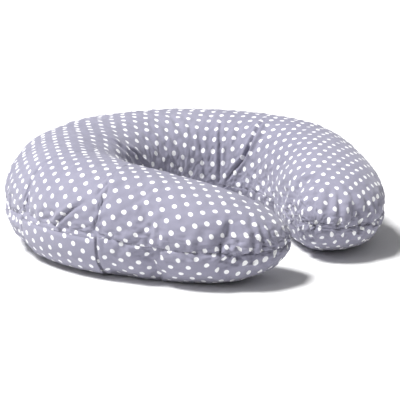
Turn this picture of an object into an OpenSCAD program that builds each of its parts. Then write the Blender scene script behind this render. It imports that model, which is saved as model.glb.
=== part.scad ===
// Nursing pillow: a plump C of fibre fill in a sewn inner case, inside a zipped cotton cover.
// +Z is up and the mouth of the C opens toward -Y. The pillow lies on its flat base at z = 0.
// A place on the pillow is a turn or length along the centre line, and an angle round the
// section: 0 at the outer seam, 90 at the crest, 180 at the inner seam, 270 at the base.

/* [Outline] */
// Radius of the centre line round the back of the C
back_radius = 186; // [160:1:200]
// Turn of the back curve toward the right arm, in degrees
right_back_turn = 108; // [95:1:114]
// Turn of the back curve toward the left arm, in degrees
left_back_turn = 118; // [116:1:120]
// Radius of the centre line along the right arm
right_arm_radius = 330; // [300:5:600]
// Turn of the right arm, in degrees
right_arm_turn = 39; // [30:1:45]
// Radius of the centre line along the left arm
left_arm_radius = 740; // [500:10:900]
// Turn of the left arm, in degrees
left_arm_turn = 17; // [12:1:24]

/* [Section] */
// Width outside the centre line round the back
outer_width = 89; // [80:1:100]
// Width outside the centre line at the arm ends
outer_tip_width = 98; // [80:1:105]
// Width inside the centre line round the back
inner_width = 112; // [95:1:118]
// Width inside the centre line at the arm ends
inner_tip_width = 58; // [50:1:70]
// Height of the seam above the floor
seam_height = 57; // [52:1:64]
// Depth of filling that the floor presses flat
base_press = 6; // [4:1:10]
// Top height at the right tip, right side, back, left side and left tip
top_heights = [124, 152, 152, 149, 116]; // [110:1:175]
// Length over which an arm rounds off into its end
tip_round = 154; // [110:5:170]

/* [Fabric] */
// Thickness of the cotton cover
cover_thickness = 0.8; // [0.6:0.1:0.9]
// Depth of the inner case below the cover's outside
case_inset = 2.0; // [1.9:0.1:2.6]
// Thickness of the inner case
case_thickness = 0.6; // [0.4:0.1:0.7]
// Depth of the fill below the cover's outside
fill_inset = 3.0; // [2.9:0.1:3.6]

/* [Zip] */
// Middle of the flap, as a turn from the back, in degrees
flap_middle = 97; // [95:1:99]
// Turn covered by the flap, in degrees
flap_turn = 32; // [28:1:34]
// Turn of the flap past each end of the zip opening, in degrees
flap_overlap = 3; // [2.5:0.5:4]
// Depth of the pocket under the flap
pocket_depth = 6; // [5.5:0.1:7]
// Angle round the section from the seam to the flap's hem
flap_drop = 46; // [44:1:50]
// Turn taken up by the slider, in degrees
slider_turn = 2.6; // [2.2:0.1:3]
// Length of the pull tab
tab_length = 13; // [10:0.5:14]

/* [Hidden] */
$fn = 64;

lilac = [0.66, 0.65, 0.74];
pale_lilac = [0.80, 0.79, 0.86];
case_white = [0.93, 0.92, 0.89];
fill_white = [0.97, 0.97, 0.96];
tape_grey = [0.62, 0.61, 0.70];
metal = [0.75, 0.75, 0.78];

// Outline: lengths along the centre line are counted from the middle of the back, left arm positive.
mm_per_degree = PI / 180;
right_back_length = back_radius * right_back_turn * mm_per_degree;
left_back_length = back_radius * left_back_turn * mm_per_degree;
right_length = right_back_length + right_arm_radius * right_arm_turn * mm_per_degree;
left_length = left_back_length + left_arm_radius * left_arm_turn * mm_per_degree;
tip_start = 0.62;
round_power = 2.2;

function ease(t) = let (k = min(1, max(0, t))) k * k * (3 - 2 * k);
function mix(a, b, t) = a * (1 - t) + b * t;
function side(s) = s < 0 ? -1 : 1;
function back_turn(s) = s < 0 ? right_back_turn : left_back_turn;
function arm_radius(s) = s < 0 ? right_arm_radius : left_arm_radius;
function back_length(s) = s < 0 ? right_back_length : left_back_length;
function arm_length(s) = s < 0 ? right_length : left_length;
// Turn of the centre line at length s: 0 at the middle of the back
function turn_at(s) = abs(s) <= back_length(s)
    ? abs(s) / back_radius / mm_per_degree
    : back_turn(s) + (abs(s) - back_length(s)) / arm_radius(s) / mm_per_degree;
function length_at(turn) = turn * mm_per_degree * back_radius;
// Outward direction of the centre line
function outward(s) = let (a = turn_at(s)) [-side(s) * sin(a), cos(a)];
function centre(s) = let (b = back_turn(s), e = [-side(s) * sin(b), cos(b)])
    turn_at(s) <= b ? back_radius * outward(s)
                    : (back_radius - arm_radius(s)) * e + arm_radius(s) * outward(s);

// Section: how its size changes along the pillow
function share(s) = abs(s) / arm_length(s);
function tip_ease(s) = ease((share(s) - tip_start) / (1 - tip_start));
function outer_at(s) = mix(outer_width, outer_tip_width, tip_ease(s));
function inner_at(s) = mix(inner_width, inner_tip_width, ease(share(s)));
function top_at(s) = let (p = 2 + 2 * side(s) * share(s), i = min(3, floor(p)))
    mix(top_heights[i], top_heights[i + 1], ease(p - i));
function rounding(s) = let (d = min(1, (arm_length(s) - abs(s)) / tip_round))
    pow(max(0, 1 - pow(1 - d, round_power)), 1 / round_power);
function signed_pow(x, n) = x < 0 ? -pow(-x, n) : pow(x, n);
width_power = 0.84;
top_power = 0.8;
base_power = 0.82;
// Point of the section at angle v: distance out from the centre line, and height
function section(s, v) = let (c = rounding(s), w = cos(v) > 0 ? outer_at(s) : inner_at(s))
    [w * c * signed_pow(cos(v), width_power),
     sin(v) >= 0 ? seam_height + (top_at(s) - seam_height) * c * pow(sin(v), top_power)
                 : max(0, seam_height - (seam_height + base_press) * c * pow(-sin(v), base_power))];

// The frame's origin is under the middle of the outline's box
outline_back = back_radius + outer_width;
arm_samples = [for (k = [0:0.01:1]) each [mix(left_length, left_back_length, k),
                                          -mix(right_length, right_back_length, k)]];
outline_front = min([for (s = arm_samples) for (v = [0:30:180])
    (centre(s) + section(s, v)[0] * outward(s))[1]]);
origin_shift = -(outline_back + outline_front) / 2;

function skin(s, v) = let (w = section(s, v), p = centre(s) + w[0] * outward(s))
    [p[0], p[1] + origin_shift, w[1]];

// Outward normal, from neighbouring points of the surface
step = 0.6;
tip_margin = 0.02;
tip_share = 0.9999;
function limit(s) = min(left_length - tip_margin, max(-right_length + tip_margin, s));
function unit(a) = a / norm(a);
function normal(s, v) = share(s) > tip_share
    ? let (o = outward(s)) [-side(s) * o[1], side(s) * o[0], 0]
    : unit(cross(skin(limit(s + step), v) - skin(limit(s - step), v),
                  skin(s, v + step) - skin(s, v - step)));

// Pocket under the flap: none, the cover's, or the deeper one of the layers below the zip
no_pocket = 0;
cover_pocket = 1;
inner_pocket = 2;
zip_start = flap_middle - flap_turn / 2 + flap_overlap;
zip_end = flap_middle + flap_turn / 2 - flap_overlap;
flap_start_s = length_at(flap_middle - flap_turn / 2);
flap_end_s = length_at(flap_middle + flap_turn / 2);
zip_start_s = length_at(zip_start);
zip_end_s = length_at(zip_end);
inner_pocket_depth = pocket_depth + 4.5;
cover_ramp = 6;
inner_ramp = 14;
inner_reach = 8;
// From where to where round the section each pocket goes, below the seam, and its two ramps
cover_drop = [0.5, 41, 3.5, 16];
inner_drop = [-9, 46, 10, 18];
// 1 between a and b, falling to 0 over the ramps at both ends
function window(x, a, b, ramp_a, ramp_b) = ease((x - a) / ramp_a) * ease((b - x) / ramp_b);
function drop_window(v, d) = window(below(v), d[0], d[1], d[2], d[3]);
function below(v) = v > 180 ? 360 - v : -v;
function cover_pocket_at(s, v) = pocket_depth * drop_window(v, cover_drop)
    * window(s, flap_start_s, flap_end_s, cover_ramp, cover_ramp);
function inner_pocket_at(s, v) = inner_pocket_depth * drop_window(v, inner_drop)
    * window(s, flap_start_s - inner_reach, flap_end_s + inner_reach, inner_ramp, inner_ramp);
function pocket(s, v, kind) = kind == no_pocket ? 0
    : kind == cover_pocket ? cover_pocket_at(s, v) : inner_pocket_at(s, v);
// Point at depth t below the cover's outside
function layer(s, v, t, kind) = skin(s, v) - (t + pocket(s, v, kind)) * normal(s, v);

// Stations along the pillow, the same for every layer so that the layers never cross
tip_cells = 6;
long_cells = 8;
flap_edge_cells = 1;
zip_cells = 6;
back_cells = 5;
flap_side_cells = 3;
cap_share = 0.8;
right_cap = -right_length + cap_share * tip_round;
left_cap = left_length - cap_share * tip_round;
function even(a, b, n) = [for (i = [0:n - 1]) mix(a, b, i / n)];
// Cells that shrink toward the tip, at b and at a
function toward_tip(a, b, n) = [for (i = [0:n - 1]) mix(a, b, sin(90 * i / n))];
function from_tip(a, b, n) = [for (i = [0:n - 1]) mix(a, b, 1 - cos(90 * i / n))];
stations = concat(
    from_tip(-right_length, right_cap, tip_cells),
    even(right_cap, -right_back_length / 2, long_cells),
    even(-right_back_length / 2, 0, back_cells),
    even(0, flap_start_s, long_cells),
    even(flap_start_s, zip_start_s, flap_edge_cells),
    even(zip_start_s, zip_end_s, zip_cells),
    even(zip_end_s, flap_end_s, flap_edge_cells),
    even(flap_end_s, left_cap, flap_side_cells),
    toward_tip(left_cap, left_length, tip_cells),
    [left_length]);
flap_first = tip_cells + 2 * long_cells + back_cells;
zip_first = flap_first + flap_edge_cells;
zip_last = zip_first + zip_cells;
flap_last = zip_last + flap_edge_cells;
last = len(stations) - 1;

// Angles of the rows round the section
slit_top = 4.5;
slit_bottom = 15;
top_rows = [0, 7, 17, 30, 47, 67, 90, 112, 132, 149, 163, 173, 180];
near_seam_row = 358;
base_rows = [180, 188, 200, 216, 234, 253, 272, 290, 306, 318, 328, 336,
             360 - slit_bottom, 360 - slit_top, near_seam_row, 360];
slit_row = len(base_rows) - 4;

// Two triangles, or one where two corners are the same
function quad(a, b, c, d) = [for (t = [[a, b, c], [a, c, d]])
    if (t[0] != t[1] && t[1] != t[2] && t[0] != t[2]) t];

// A sheet between two depths, over a run of stations and rows. Cells in the slit are left open.
module sheet(from, to, rows, outside, inside, kind, slit = false) {
    m = len(rows) - 1;
    n = to - from;
    tip_a = from == 0;
    tip_b = to == last;
    block = (n + 1) * (m + 1);
    function id(l, i, j) = l * block + i * (m + 1) + (tip_a && i == 0 || tip_b && i == n ? 0 : j);
    function open(i, j) = j < 0 || j >= m || i < 0 || i >= n
        || slit && j == slit_row && from + i >= zip_first && from + i < zip_last;
    points = [for (t = [outside, inside]) for (i = [0:n]) for (j = [0:m])
        layer(stations[from + i], rows[j], t, kind)];
    faces = [for (i = [0:n - 1]) for (j = [0:m - 1]) if (!open(i, j)) each concat(
        quad(id(0, i, j), id(0, i, j + 1), id(0, i + 1, j + 1), id(0, i + 1, j)),
        quad(id(1, i, j), id(1, i + 1, j), id(1, i + 1, j + 1), id(1, i, j + 1)),
        open(i, j - 1) ? quad(id(0, i, j), id(0, i + 1, j), id(1, i + 1, j), id(1, i, j)) : [],
        open(i, j + 1)
            ? quad(id(0, i, j + 1), id(1, i, j + 1), id(1, i + 1, j + 1), id(0, i + 1, j + 1)) : [],
        open(i - 1, j) && !(tip_a && i == 0)
            ? quad(id(0, i, j), id(1, i, j), id(1, i, j + 1), id(0, i, j + 1)) : [],
        open(i + 1, j) && !(tip_b && i == n - 1)
            ? quad(id(0, i + 1, j), id(0, i + 1, j + 1), id(1, i + 1, j + 1), id(1, i + 1, j)) : [])];
    polyhedron(points, faces, convexity = 10);
}

// A closed lump over the whole pillow at one depth
module lump(depth, kind) {
    rows = concat(top_rows, [for (j = [1:len(base_rows) - 2]) base_rows[j]]);
    m = len(rows);
    function id(i, j) = i * m + (i == 0 || i == last ? 0 : j % m);
    points = [for (i = [0:last]) for (j = [0:m - 1]) layer(stations[i], rows[j], depth, kind)];
    faces = [for (i = [0:last - 1]) for (j = [0:m - 1])
        each quad(id(i, j), id(i, j + 1), id(i + 1, j + 1), id(i + 1, j))];
    polyhedron(points, faces, convexity = 10);
}

// Zip: solids of revolution about the centre of the back curve
zip_tape_thickness = 0.6;
zip_tape_inset = cover_thickness + 0.5;
teeth_gap = 0.5;
teeth_height = 1.9;
teeth_thickness = 2.4;
teeth_edge = teeth_gap + teeth_height;
plate_gap = 0.4;
plate_thickness = 0.8;
slider_half_height = 4;
running_gap = 0.3;
zip_middle_s = length_at(flap_middle);
// Radius and height of a place in the section at the zip
function zip_point(angle, depth) = let (p = layer(zip_middle_s, 360 - angle, depth, cover_pocket))
    [norm([p[0], p[1] - origin_shift]), p[2]];
tape_middle = zip_tape_inset + zip_tape_thickness / 2;
tape_top = zip_point(slit_top, tape_middle);
tape_bottom = zip_point(slit_bottom, tape_middle);
zip_centre = (tape_top + tape_bottom) / 2;
zip_tilt = atan2(tape_top[0] - tape_bottom[0], tape_top[1] - tape_bottom[1]);
tape_reach = norm(tape_top - tape_bottom) / 2;

// Turns a profile, x outward and y up the tape, about the centre of the back curve
module zip_turn(start, turn)
    translate([0, origin_shift, 0]) rotate([0, 0, 90 + start]) rotate_extrude(angle = turn, $fn = 96)
        translate(zip_centre) rotate(-zip_tilt) children();
module block(x0, x1, y0, y1) polygon([[x0, y0], [x1, y0], [x1, y1], [x0, y1]]);
// A strip centred on the tape, between two reaches up or down it
module strip(thickness, direction, near, far)
    block(-thickness / 2, thickness / 2, direction * near, direction * far);

tape_past_end = 0.6;
teeth_short_of_end = 0.5;
upper_tape_hidden = 2.6;
lower_tape_hidden = 1.4;
module tape(direction, reach) zip_turn(zip_start - tape_past_end, zip_end - zip_start + 2 * tape_past_end)
    strip(zip_tape_thickness, direction, teeth_edge, reach);
module teeth(direction)
    zip_turn(zip_start + teeth_short_of_end, zip_end - zip_start - 2 * teeth_short_of_end)
        strip(teeth_thickness, direction, teeth_gap, teeth_gap + teeth_height);

module cover_top() color(lilac) sheet(0, last, top_rows, 0, cover_thickness, no_pocket);
module cover_bottom() color(lilac)
    sheet(0, last, base_rows, 0, cover_thickness, cover_pocket, slit = true);

// Turned-in edges of the two cover panels, sewn together and folded down inside
allowance_outside = cover_thickness + 0.2;
allowance_inside = allowance_outside + 0.4;
outer_allowance_rows = [360 - slit_top, near_seam_row, 359.9];
inner_allowance_rows = [180.2, 188];
module seam_allowance() color(pale_lilac) {
    sheet(1, zip_first - 1, outer_allowance_rows, allowance_outside, allowance_inside, cover_pocket);
    sheet(zip_last + 1, last - 1, outer_allowance_rows, allowance_outside, allowance_inside, cover_pocket);
    sheet(1, last - 1, inner_allowance_rows, allowance_outside, allowance_inside, no_pocket);
}

// Line of thread that shows along the seam, a little proud of the upper panel
stitch_outside = -0.45;
stitch_inside = -0.1;
seam_stitch_rows = [0.8, 1.2];
module seam_stitch() color(pale_lilac) {
    sheet(1, last - 1, seam_stitch_rows, stitch_outside, stitch_inside, no_pocket);
    sheet(1, last - 1, [for (v = [1, 0]) 180 - seam_stitch_rows[v]], stitch_outside, stitch_inside,
        no_pocket);
}

// Flap over the zip, sewn in along the seam
flap_inside = -0.4;
flap_outside = -1.2;
hem_angle = 360 - flap_drop + 4;
hem_stitch_rows = [hem_angle, hem_angle + 0.6];
flap_top_row = 359.6;
flap_rows = [360 - flap_drop, 318, 328, 336, 360 - slit_bottom, 360 - slit_top, near_seam_row,
    flap_top_row];
module zip_flap() color(lilac)
    sheet(flap_first, flap_last, flap_rows, flap_outside, flap_inside, no_pocket);
module flap_hem_stitch() color(pale_lilac)
    sheet(flap_first, flap_last, hem_stitch_rows,
        flap_outside + stitch_outside, flap_outside + stitch_inside, no_pocket);

module zip_tape_upper() color(tape_grey) tape(1, tape_reach + upper_tape_hidden);
module zip_tape_lower() color(tape_grey) tape(-1, tape_reach + lower_tape_hidden);
module zip_teeth_upper() color(tape_grey) teeth(1);
module zip_teeth_lower() color(tape_grey) teeth(-1);

// Threads that hold the tapes to the edges of the opening
upper_stitch_rows = [360 - slit_top, 360 - slit_top + 0.3];
lower_stitch_rows = [360 - slit_bottom - 2.6, 360 - slit_bottom - 2];
upper_stitch_outside = -1.0;
upper_stitch_inside = -0.65;
module zip_stitch_upper() color(pale_lilac)
    sheet(zip_first, zip_last, upper_stitch_rows, upper_stitch_outside, upper_stitch_inside, cover_pocket);
module zip_stitch_lower() color(pale_lilac)
    sheet(zip_first, zip_last, lower_stitch_rows, stitch_outside, stitch_inside, cover_pocket);

// Stops: a pair at the closed end, and one box that joins both rows at the other end
stop_turn = 0.4;
stop_thickness = 2.6;
stop_reach = teeth_edge - 0.1;
module zip_top_stops() color(metal) for (d = [-1, 1])
    zip_turn(zip_end - teeth_short_of_end + 0.05, stop_turn)
        strip(stop_thickness, d, teeth_gap, stop_reach);
module zip_bottom_stop() color(metal) zip_turn(zip_start, stop_turn)
    block(-stop_thickness / 2, stop_thickness / 2, -stop_reach, stop_reach);

// Slider: two plates with flanges that wrap both rows of teeth, joined by a wedge between the rows
slider_start = zip_end - teeth_short_of_end - 0.05 - slider_turn;
wedge_turn = 0.7;
wedge_half_height = teeth_gap - 0.2;
weld = 0.1;
plate_inside = teeth_thickness / 2 + plate_gap;
plate_outside = plate_inside + plate_thickness;
flange_thickness = 0.7;
pin_radius = 1.2;
pin_reach = plate_outside + 2.0;
pin_head_radius = 2.0;
pin_head_thickness = 0.6;
tab_thickness = 1.0;
tab_inside = plate_outside + 0.4;
slider_middle = slider_start + slider_turn / 2;
// Frame of the pull's pin: x along the pin, z up the tape
module at_pin() translate([0, origin_shift, 0]) rotate([0, 0, 90 + slider_middle])
    translate([zip_centre[0], 0, zip_centre[1]]) rotate([0, zip_tilt, 0]) children();
module zip_slider() color(metal) union() {
    zip_turn(slider_start, slider_turn) {
        for (d = [-1, 1]) {
            block(d * plate_inside, d * plate_outside, -slider_half_height, slider_half_height);
            for (e = [-1, 1])
                block(d * (zip_tape_thickness / 2 + running_gap), d * (plate_inside + weld),
                    e * (slider_half_height - flange_thickness), e * slider_half_height);
        }
    }
    zip_turn(slider_start + slider_turn - wedge_turn, wedge_turn)
        block(-plate_inside - weld, plate_inside + weld, -wedge_half_height, wedge_half_height);
    at_pin() rotate([0, 90, 0]) {
        translate([0, 0, plate_inside + weld])
            cylinder(r = pin_radius, h = pin_reach - plate_inside - weld);
        translate([0, 0, pin_reach]) cylinder(r = pin_head_radius, h = pin_head_thickness);
    }
}

// Pull tab: a flat plate that hangs from the slider's pin
tab_eye_radius = 2.4;
tab_end_radius = 3.2;
tab_hole_radius = 1.3;
pin_clearance = 0.1;
tab_end = tab_length - tab_end_radius;
module zip_pull() color(metal) at_pin() rotate([0, 90, 0]) translate([0, 0, tab_inside])
    difference() {
        union() {
            cylinder(r = tab_eye_radius, h = tab_thickness);
            translate([tab_end, 0, 0]) cylinder(r = tab_end_radius, h = tab_thickness);
            linear_extrude(tab_thickness) polygon([[0, -tab_eye_radius], [tab_end, -tab_end_radius],
                [tab_end, tab_end_radius], [0, tab_eye_radius]]);
        }
        translate([0, 0, -1]) cylinder(r = pin_radius + pin_clearance, h = tab_thickness + 2);
        translate([tab_end, 0, -1]) cylinder(r = tab_hole_radius, h = tab_thickness + 2);
    }

// Blank sewn-in label, inside the cover at the back
label_outside = allowance_inside + 0.1;
label_thickness = 0.2;
label_rows = [360 - slit_bottom, 360 - slit_top, near_seam_row, flap_top_row];
label_first = flap_first - 9;
module care_label() color(case_white)
    sheet(label_first, label_first + 1, label_rows, label_outside, label_outside + label_thickness,
        no_pocket);

module inner_case_top() color(case_white)
    sheet(0, last, top_rows, case_inset, case_inset + case_thickness, inner_pocket);
module inner_case_bottom() color(case_white)
    sheet(0, last, base_rows, case_inset, case_inset + case_thickness, inner_pocket);
// Thread that closes the slot the fill went in by
slot_first = flap_first - 13;
slot_cells = 4;
slot_rows = [3, 4];
module inner_case_stitch() color(fill_white)
    sheet(slot_first, slot_first + slot_cells, slot_rows,
        case_inset + stitch_outside, case_inset + stitch_inside, no_pocket);
module fibre_fill() color(fill_white) lump(fill_inset, inner_pocket);

cover_top();
cover_bottom();
seam_allowance();
seam_stitch();
zip_flap();
flap_hem_stitch();
zip_tape_upper();
zip_tape_lower();
zip_teeth_upper();
zip_teeth_lower();
zip_stitch_upper();
zip_stitch_lower();
zip_top_stops();
zip_bottom_stop();
zip_slider();
zip_pull();
care_label();
inner_case_top();
inner_case_bottom();
inner_case_stitch();
fibre_fill();
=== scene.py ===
"""Nursing pillow: the looks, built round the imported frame. Lengths are metres, angles degrees.

A place on the pillow is a length s along its centre line, counted from the middle of the back with
the left arm positive, and an angle v round the section: 0 at the outer seam, 90 at the crest,
180 at the inner seam and 270 at the base.
"""

import math

import bpy
import numpy as np
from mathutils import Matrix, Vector, noise
from mathutils.kdtree import KDTree


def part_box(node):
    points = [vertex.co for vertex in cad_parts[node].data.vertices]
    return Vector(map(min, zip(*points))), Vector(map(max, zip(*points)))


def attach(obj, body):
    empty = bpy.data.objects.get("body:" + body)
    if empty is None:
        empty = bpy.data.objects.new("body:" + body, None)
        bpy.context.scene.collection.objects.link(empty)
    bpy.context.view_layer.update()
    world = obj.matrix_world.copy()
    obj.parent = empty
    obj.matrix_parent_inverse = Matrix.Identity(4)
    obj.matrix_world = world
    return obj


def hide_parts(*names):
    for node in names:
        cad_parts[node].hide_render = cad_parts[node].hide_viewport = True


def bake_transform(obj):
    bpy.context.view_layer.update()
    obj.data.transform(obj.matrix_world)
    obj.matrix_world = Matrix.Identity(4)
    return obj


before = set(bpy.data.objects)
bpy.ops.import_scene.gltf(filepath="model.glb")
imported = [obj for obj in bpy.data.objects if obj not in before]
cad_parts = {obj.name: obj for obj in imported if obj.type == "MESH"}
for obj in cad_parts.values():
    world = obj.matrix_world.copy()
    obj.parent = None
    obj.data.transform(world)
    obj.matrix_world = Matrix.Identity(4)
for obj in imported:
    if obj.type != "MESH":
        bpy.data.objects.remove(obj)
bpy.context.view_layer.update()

# ------------------------------------------------------------------ the pillow's form, as in the CAD
BACK_RADIUS = 0.186
RIGHT_BACK_TURN, LEFT_BACK_TURN = 108.0, 118.0
RIGHT_ARM_RADIUS, RIGHT_ARM_TURN = 0.330, 39.0
LEFT_ARM_RADIUS, LEFT_ARM_TURN = 0.740, 17.0
OUTER_WIDTH, OUTER_TIP_WIDTH = 0.089, 0.098
INNER_WIDTH, INNER_TIP_WIDTH = 0.112, 0.058
SEAM_HEIGHT, BASE_PRESS = 0.057, 0.006
TOP_HEIGHTS = np.array([0.124, 0.152, 0.152, 0.149, 0.116])
TIP_ROUND, TIP_START, ROUND_POWER = 0.154, 0.62, 2.2
WIDTH_POWER, TOP_POWER, BASE_POWER = 0.84, 0.8, 0.82

# The zip's pocket, its opening and the flap, as in the CAD
FLAP_MIDDLE, FLAP_TURN, FLAP_DROP, FLAP_OVERLAP = 97.0, 32.0, 46.0, 3.0
SLIT_TOP, SLIT_BOTTOM = 4.5, 15.0
POCKET_DEPTH, INNER_POCKET_DEPTH = 0.006, 0.0105
MM = 0.001
FLAP_S = [BACK_RADIUS * math.radians(FLAP_MIDDLE + k * FLAP_TURN / 2) for k in (-1, 1)]
ZIP_S = [BACK_RADIUS * math.radians(FLAP_MIDDLE + k * (FLAP_TURN / 2 - FLAP_OVERLAP)) for k in (-1, 1)]

RIGHT_BACK = BACK_RADIUS * math.radians(RIGHT_BACK_TURN)
LEFT_BACK = BACK_RADIUS * math.radians(LEFT_BACK_TURN)
RIGHT = RIGHT_BACK + RIGHT_ARM_RADIUS * math.radians(RIGHT_ARM_TURN)
LEFT = LEFT_BACK + LEFT_ARM_RADIUS * math.radians(LEFT_ARM_TURN)
# The back curve's centre is this far from the frame's origin along y
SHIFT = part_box("cover_top")[1].y - (BACK_RADIUS + OUTER_WIDTH)


def ease(t):
    k = np.clip(t, 0, 1)
    return k * k * (3 - 2 * k)


def mix(a, b, t):
    return a * (1 - t) + b * t


def window(x, low, high, low_ramp, high_ramp):
    """1 between low and high, easing to 0 over the ramps inside both ends."""
    return ease((x - low) / low_ramp) * ease((high - x) / high_ramp)


def centre_line(s):
    """Point and outward direction of the centre line in plan."""
    left = s >= 0
    side = np.where(left, 1.0, -1.0)
    back_turn = np.radians(np.where(left, LEFT_BACK_TURN, RIGHT_BACK_TURN))
    back = np.where(left, LEFT_BACK, RIGHT_BACK)
    arm_radius = np.where(left, LEFT_ARM_RADIUS, RIGHT_ARM_RADIUS)
    a = np.abs(s)
    turn = np.where(a <= back, a / BACK_RADIUS, back_turn + (a - back) / arm_radius)
    out = np.stack([-side * np.sin(turn), np.cos(turn)], -1)
    corner = np.stack([-side * np.sin(back_turn), np.cos(back_turn)], -1)
    arm = (BACK_RADIUS - arm_radius)[..., None] * corner + arm_radius[..., None] * out
    point = np.where((a <= back)[..., None], BACK_RADIUS * out, arm)
    return point, out


def section(s, v):
    """Distance out from the centre line, and height."""
    total = np.where(s >= 0, LEFT, RIGHT)
    share = np.abs(s) / total
    outer = mix(OUTER_WIDTH, OUTER_TIP_WIDTH, ease((share - TIP_START) / (1 - TIP_START)))
    inner = mix(INNER_WIDTH, INNER_TIP_WIDTH, ease(share))
    place = 2 + 2 * np.sign(s) * share
    i = np.clip(np.floor(place).astype(int), 0, 3)
    top = mix(TOP_HEIGHTS[i], TOP_HEIGHTS[i + 1], ease(place - i))
    d = np.clip((total - np.abs(s)) / TIP_ROUND, 0, 1)
    c = np.clip(1 - (1 - d) ** ROUND_POWER, 0, 1) ** (1 / ROUND_POWER)
    cos, sin = np.cos(np.radians(v)), np.sin(np.radians(v))
    w = np.where(cos > 0, outer, inner) * c * np.sign(cos) * np.abs(cos) ** WIDTH_POWER
    rise = (top - SEAM_HEIGHT) * c * np.abs(sin) ** TOP_POWER
    fall = (SEAM_HEIGHT + BASE_PRESS) * c * np.abs(sin) ** BASE_POWER
    return w, np.where(sin >= 0, SEAM_HEIGHT + rise, np.maximum(SEAM_HEIGHT - fall, 0))


# How far the seam climbs over the flap and sinks at the two tips, in degrees
OVER_FLAP_RISE, LEFT_TIP_DROP, RIGHT_TIP_DROP = 2.2, 3.5, 4.5


def seam_wander(s, v):
    """How far the outer seam wanders off the section's widest place, in degrees round the section.
    It climbs over the flap, where the rows of the zip below it stay put, and sinks at the tips."""
    wide = np.maximum(0, np.cos(np.radians(v))) ** 3
    below = (v + 180) % 360 - 180
    narrow = np.where(below < 0, np.clip(1 + below / SLIT_TOP, 0, 1), wide)
    over_flap = OVER_FLAP_RISE * window(s, 0.19, 0.43, 0.07, 0.05)
    left_tip = LEFT_TIP_DROP * ease((s - 0.50) / 0.10)
    right_tip = RIGHT_TIP_DROP * ease((-s - 0.40) / 0.14)
    return over_flap * narrow - (left_tip + right_tip) * wide


def skin(s, v):
    s, v = np.broadcast_arrays(np.asarray(s, float), np.asarray(v, float))
    v = v + seam_wander(s, v)
    point, out = centre_line(s)
    w, z = section(s, v)
    p = point + w[..., None] * out
    return np.stack([p[..., 0], p[..., 1] + SHIFT, z], -1)


# ------------------------------------------------------------------ the grid all layers share
CAP_CELLS, MIDDLE_CELLS = 60, 324
EDGE_CROWDING, EDGE_REACH = 2.6, 0.006
TOP_CELLS, BASE_CELLS = 104, 84
SEAM_CROWDING = 0.5


def station_lengths():
    """Lengths along the pillow from the right tip to the left one."""
    phi = np.radians(np.linspace(0, 90, CAP_CELLS + 1))
    cap = TIP_ROUND * (1 - np.cos(phi) ** (2 / ROUND_POWER))
    fine = np.linspace(-RIGHT + TIP_ROUND, LEFT - TIP_ROUND, 4001)
    crowd = sum(EDGE_CROWDING * np.exp(-(((fine - edge) / EDGE_REACH) ** 2)) for edge in FLAP_S)
    share = np.concatenate([[0], np.cumsum((1 + crowd[1:]) * np.diff(fine))])
    middle = np.interp(np.linspace(0, share[-1], MIDDLE_CELLS + 1), share, fine)
    return np.concatenate([-RIGHT + cap, middle[1:-1], (LEFT - cap)[::-1]])


def row_angles(start, cells):
    """Angles of the rows of one panel, at even steps of cloth that crowd toward its two seams."""
    v = np.linspace(start, start + 180, 2001)
    p = skin(0.0, v)
    reach = np.concatenate([[0], np.cumsum(np.linalg.norm(np.diff(p, axis=0), axis=1))])
    t = np.linspace(0, 1, cells + 1)
    t = t - SEAM_CROWDING * np.sin(2 * np.pi * t) / (2 * np.pi)
    return np.interp(t * reach[-1], reach, v)


S = station_lengths()
TOP_V = row_angles(0, TOP_CELLS)
BASE_V = row_angles(180, BASE_CELLS)
V = np.concatenate([TOP_V, BASE_V[1:-1]])
NS, NV = len(S), len(V)


def along_v(field):
    """Difference along the rows, which close on themselves."""
    return np.roll(field, -1, axis=1) - np.roll(field, 1, axis=1)


def normals(points):
    """Outward normals of a closed grid. At the two tips they point along the arm."""
    n = np.cross(np.gradient(points, axis=0), along_v(points))
    for tip, inside in ((0, 1), (-1, -2)):
        n[tip] = points[tip] - points[inside].mean(0)
    return n / np.maximum(np.linalg.norm(n, axis=-1, keepdims=True), 1e-12)


def closed_faces(ns, nv):
    """Faces of a closed grid whose first and last stations are single points."""
    ids = np.arange(ns * nv).reshape(ns, nv)
    ids[0] = ids[0, 0]
    ids[-1] = ids[-1, 0]
    nxt = np.roll(ids, -1, axis=1)
    return np.stack([ids[:-1], ids[1:], nxt[1:], nxt[:-1]], -1).reshape(-1, 4)


def add_object(name, data):
    obj = bpy.data.objects.new(name, data)
    bpy.context.scene.collection.objects.link(obj)
    return obj


def build(name, points, faces):
    """A mesh object from points and faces, with repeated corners and unused points left out."""
    tidy = []
    for face in faces.tolist():
        ring = [p for k, p in enumerate(face) if p != face[k - 1]]
        if len(ring) > 2:
            tidy.append(ring)
    used = np.zeros(len(points), bool)
    used[[p for ring in tidy for p in ring]] = True
    new_id = np.cumsum(used) - 1
    mesh = bpy.data.meshes.new(name)
    mesh.from_pydata(points[used].tolist(), [], [[int(new_id[p]) for p in ring] for ring in tidy])
    mesh.shade_smooth()
    return add_object(name, mesh), used


# ------------------------------------------------------------------ filling the cover: cloth simulation
FILL_FRAMES = 20
FILL_PRESSURE = 4.0
SPARE_CLOTH = 0.035
GATHER_REACH = 0.050
MOVE_CAP = 0.016
START_WAVER = 0.0006
KEPT_SWELL = 0.15


def smooth(field, cells_s, cells_v):
    """Gaussian blur of a grid, closed along the rows."""
    for axis, cells in ((0, cells_s), (1, cells_v)):
        reach = int(3 * cells)
        k = np.exp(-0.5 * (np.arange(-reach, reach + 1) / cells) ** 2)
        k /= k.sum()
        pad = [(reach, reach) if a == axis else (0, 0) for a in range(field.ndim)]
        wide = np.pad(field, pad, mode="edge" if axis == 0 else "wrap")
        n = field.shape[axis]
        field = sum(w * wide.take(range(m, m + n), axis=axis) for m, w in enumerate(k))
    return field


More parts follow.
